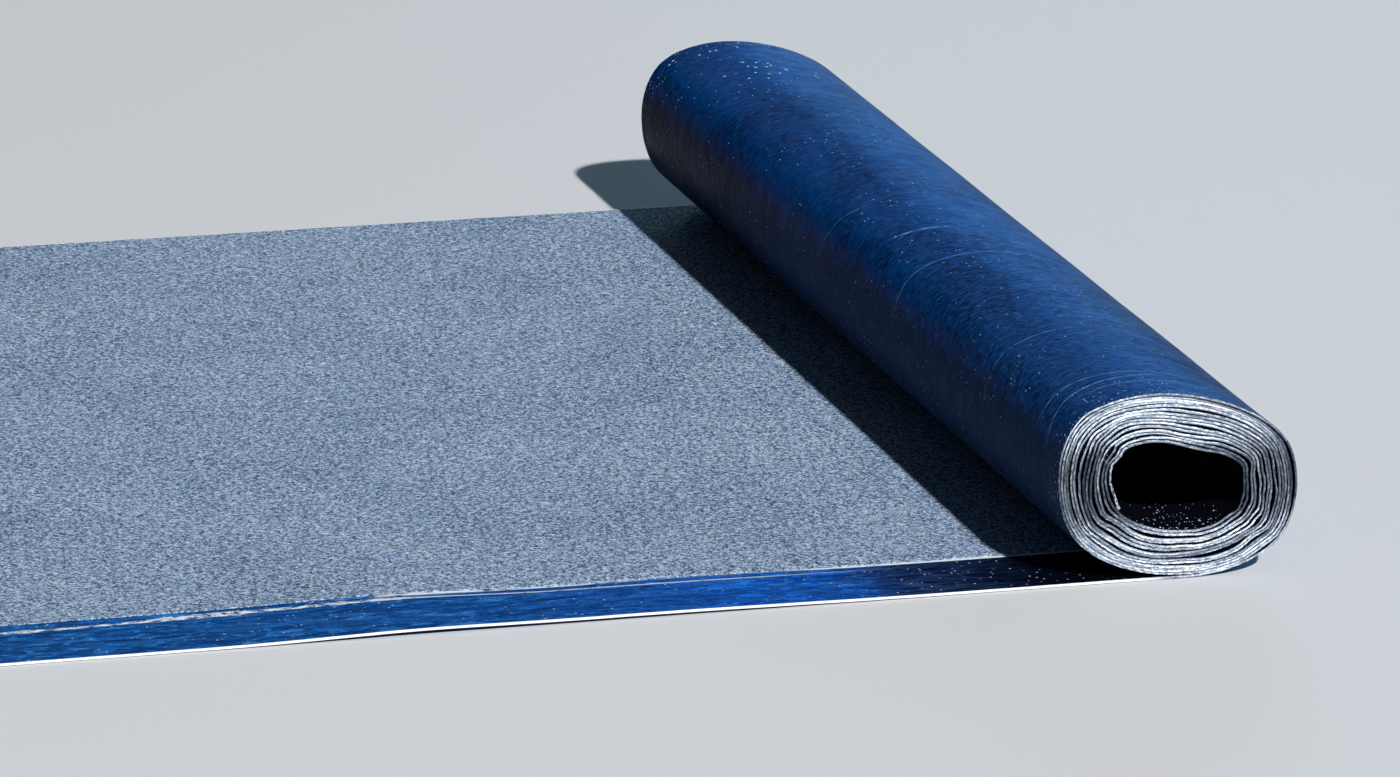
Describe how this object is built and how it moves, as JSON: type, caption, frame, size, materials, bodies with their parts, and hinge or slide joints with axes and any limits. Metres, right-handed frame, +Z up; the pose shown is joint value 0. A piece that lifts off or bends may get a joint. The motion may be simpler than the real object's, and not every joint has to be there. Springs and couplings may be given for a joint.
{
  "type": "roofing membrane roll",
  "caption": "Roll of granule-surfaced roofing membrane with an open bore, partly unrolled so that a stretch of it lies flat with its bare lap strip along one edge.",
  "frame": {"origin": "on the floor under the middle of the wound roll, halfway along its width", "axes": "+X the way the roll travels as it is laid, away from the laid stretch; Y along the roll with the lap strip at -Y; +Z up"},
  "size_m": [2.0096, 1, 0.1337],
  "materials": {
    "membrane": "glossy"
  },
  "bodies": {
    "root": {"membrane": "membrane"}
  },
  "joints": []
}
